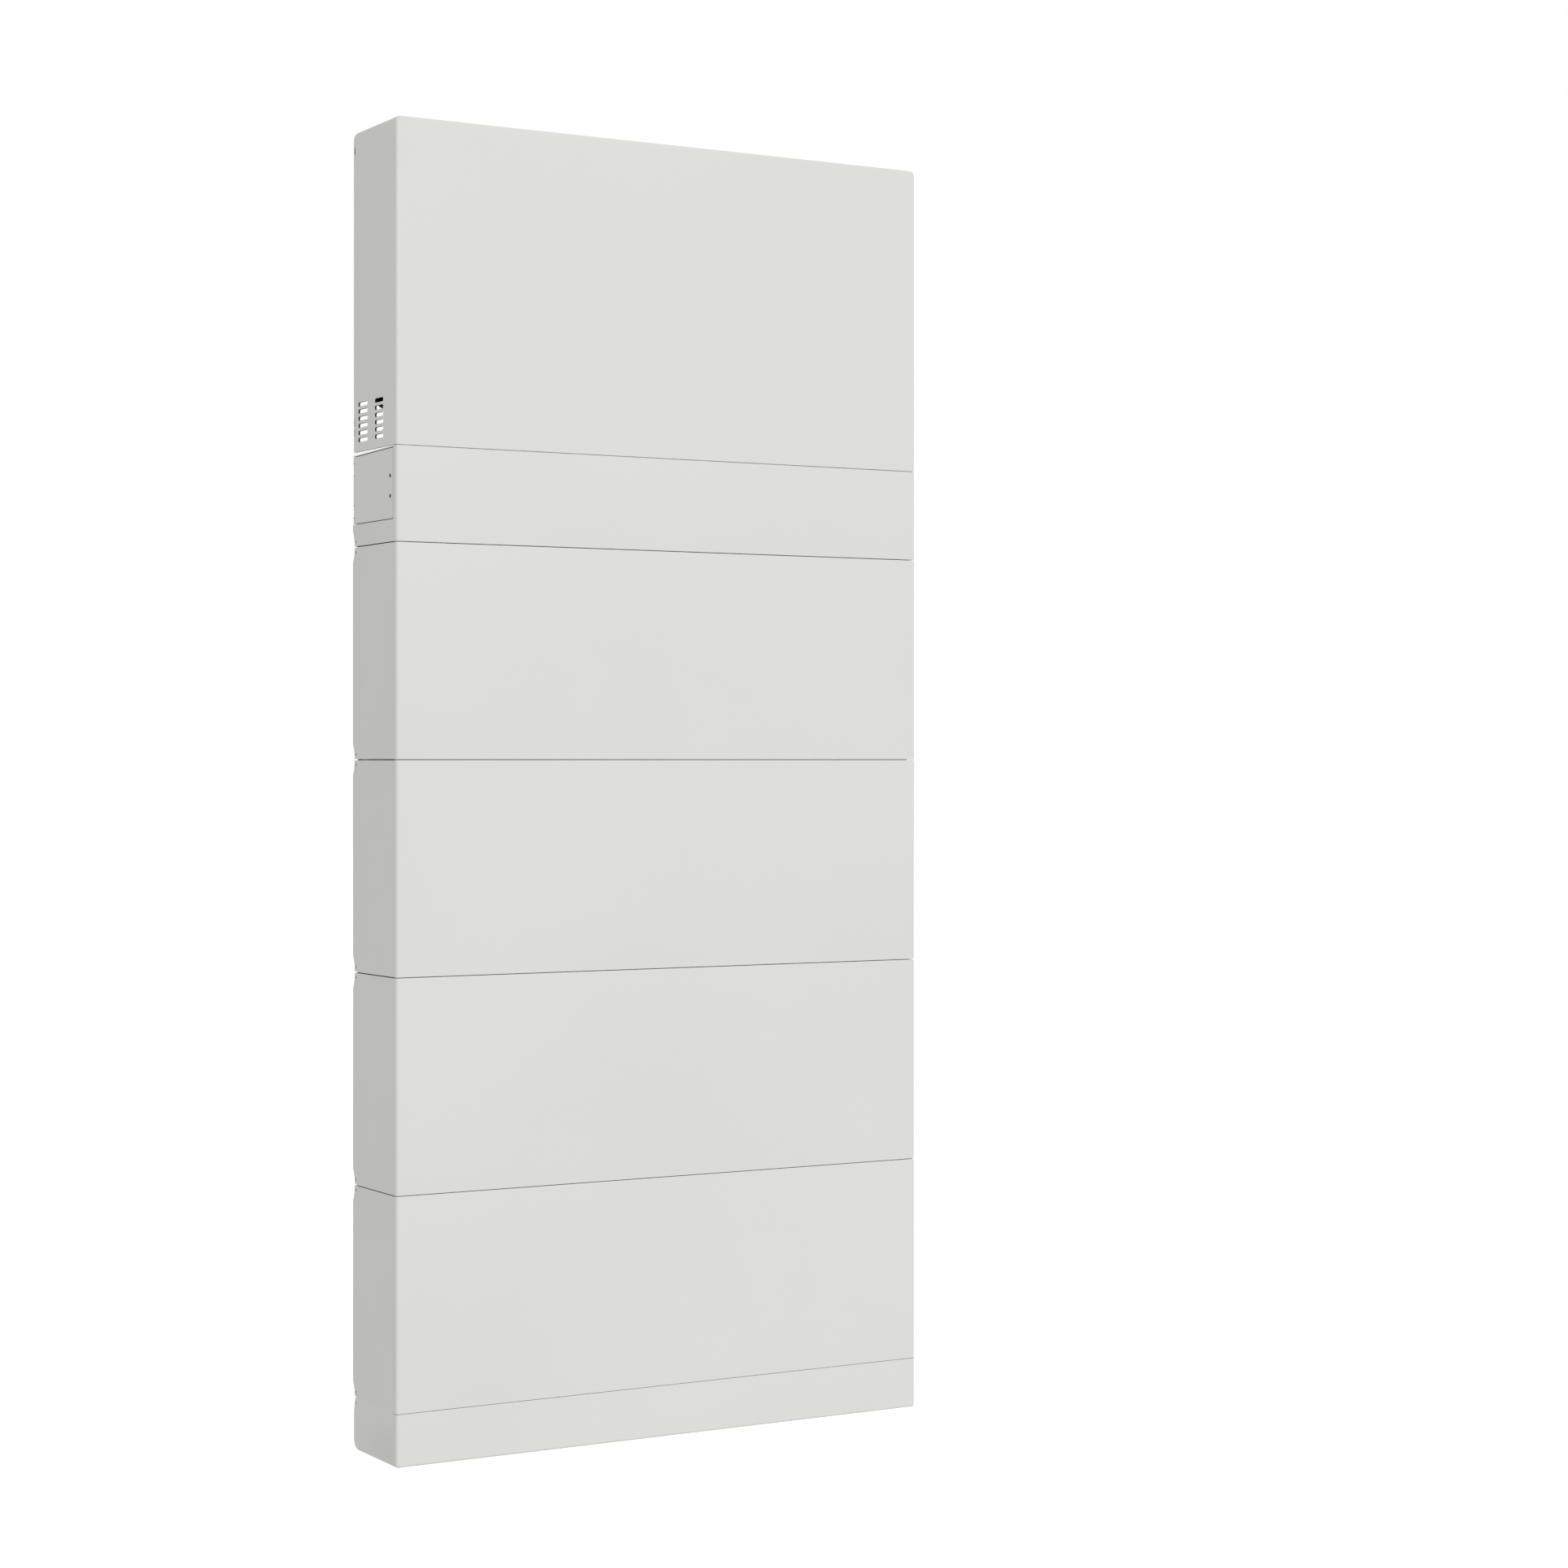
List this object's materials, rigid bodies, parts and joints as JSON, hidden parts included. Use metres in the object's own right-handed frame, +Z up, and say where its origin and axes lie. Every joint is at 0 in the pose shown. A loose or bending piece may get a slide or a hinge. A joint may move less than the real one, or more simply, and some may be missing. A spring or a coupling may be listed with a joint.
{
  "type": "wall battery unit",
  "caption": "Slim wall-hung battery stack: base cap, four battery modules, a controller with a hinged side door, and an inverter with side vents, all in plain off-white covers.",
  "frame": {"origin": "centre of the lower wall bracket's four bolt holes, on the wall plane", "axes": "+Z up, -Y out of the wall towards the front covers, +X to the right of a person facing the unit"},
  "size_m": [0.75, 0.14, 1.648],
  "materials": {
    "powder_coated_steel": "fine-textured matte powder coat, warm off-white",
    "coated_casting": "matte powder coat on cast aluminium",
    "zinc_plated_steel": "bright zinc plate",
    "extruded_aluminium": "clear anodised",
    "cell_case": "drawn aluminium can in a blue film",
    "circuit_board": "green solder mask",
    "black_plastic": "moulded, fine grain",
    "grey_plastic": "moulded, fine grain",
    "pale_silicone": "extruded pale silicone strip",
    "rubber": "moulded EPDM",
    "capacitor_sleeve": "shrink sleeve",
    "copper_winding": "enamelled copper"
  },
  "bodies": {
    "root": {"base_cover": "powder_coated_steel", "base_deck": "zinc_plated_steel", "battery_1_bms_board": "circuit_board", "battery_1_busbars": "extruded_aluminium", "battery_1_cells": "cell_case", "battery_1_front_cover": "powder_coated_steel", "battery_1_housing": "coated_casting", "battery_2_bms_board": "circuit_board", "battery_2_busbars": "extruded_aluminium", "battery_2_cells": "cell_case", "battery_2_front_cover": "powder_coated_steel", "battery_2_housing": "coated_casting", "battery_3_bms_board": "circuit_board", "battery_3_busbars": "extruded_aluminium", "battery_3_cells": "cell_case", "battery_3_front_cover": "powder_coated_steel", "battery_3_housing": "coated_casting", "battery_4_bms_board": "circuit_board", "battery_4_busbars": "extruded_aluminium", "battery_4_cells": "cell_case", "battery_4_front_cover": "powder_coated_steel", "battery_4_housing": "coated_casting", "breaker_body": "grey_plastic", "cable_glands": "black_plastic", "capacitors": "capacitor_sleeve", "cell_end_plates": "extruded_aluminium", "connector_panel": "grey_plastic", "contactors": "black_plastic", "control_board": "circuit_board", "controller_front_cover": "powder_coated_steel", "controller_housing": "coated_casting", "door_hinge_pins": "zinc_plated_steel", "door_hinge_washers": "black_plastic", "door_seal": "rubber", "fan_frames": "black_plastic", "inductors": "copper_winding", "inverter_cover": "powder_coated_steel", "inverter_floor": "zinc_plated_steel", "inverter_hanger": "zinc_plated_steel", "inverter_heat_sink": "extruded_aluminium", "isolator_body": "black_plastic", "lower_wall_bracket": "zinc_plated_steel", "module_plugs": "black_plastic", "module_sockets": "black_plastic", "power_board": "circuit_board", "pv_sockets": "black_plastic", "seam_gaskets": "rubber", "seam_trims": "pale_silicone", "terminal_block": "grey_plastic", "tie_plates": "zinc_plated_steel", "tie_screws": "zinc_plated_steel", "upper_wall_bracket": "zinc_plated_steel"},
    "door": {"access_door": "powder_coated_steel"},
    "latch_upper": {"door_latch_upper": "black_plastic"},
    "latch_lower": {"door_latch_lower": "black_plastic"},
    "isolator": {"isolator_knob": "black_plastic"},
    "button": {"power_button": "grey_plastic"},
    "lever": {"breaker_lever": "black_plastic"},
    "fan_left": {"fan_rotor_left": "black_plastic"},
    "fan_right": {"fan_rotor_right": "black_plastic"}
  },
  "joints": [
    {"name": "door_hinge", "type": "hinge", "parent": "root", "child": "door", "pos_m": [-0.3725, -0.0085, 1.1654], "axis": [0, 0, -1], "range_deg": [0, 90]},
    {"name": "latch_upper_turn", "type": "hinge", "parent": "door", "child": "latch_upper", "pos_m": [-0.374, -0.1216, 1.17621], "axis": [1, 0, 0], "range_deg": [0, 90]},
    {"name": "latch_lower_turn", "type": "hinge", "parent": "door", "child": "latch_lower", "pos_m": [-0.374, -0.1216, 1.15138], "axis": [-1, 0, 0], "range_deg": [0, 90]},
    {"name": "isolator_turn", "type": "hinge", "parent": "root", "child": "isolator", "pos_m": [0.359, -0.10213, 1.17401], "axis": [1, 0, 0], "range_deg": [0, 90]},
    {"name": "button_press", "type": "slide", "parent": "root", "child": "button", "axis": [-1, 0, 0], "range_m": [0, 0.002], "stiffness_N_per_m": 500, "springref_m": -0.001},
    {"name": "breaker_throw", "type": "hinge", "parent": "root", "child": "lever", "pos_m": [-0.314, -0.05591, 1.1654], "axis": [0, -1, 0], "range_deg": [0, 60]},
    {"name": "fan_left_spin", "type": "hinge", "parent": "root", "child": "fan_left", "pos_m": [-0.359, -0.09712, 1.2985], "axis": [-1, 0, 0], "continuous": true},
    {"name": "fan_right_spin", "type": "hinge", "parent": "root", "child": "fan_right", "pos_m": [0.359, -0.09712, 1.2985], "axis": [1, 0, 0], "continuous": true}
  ]
}
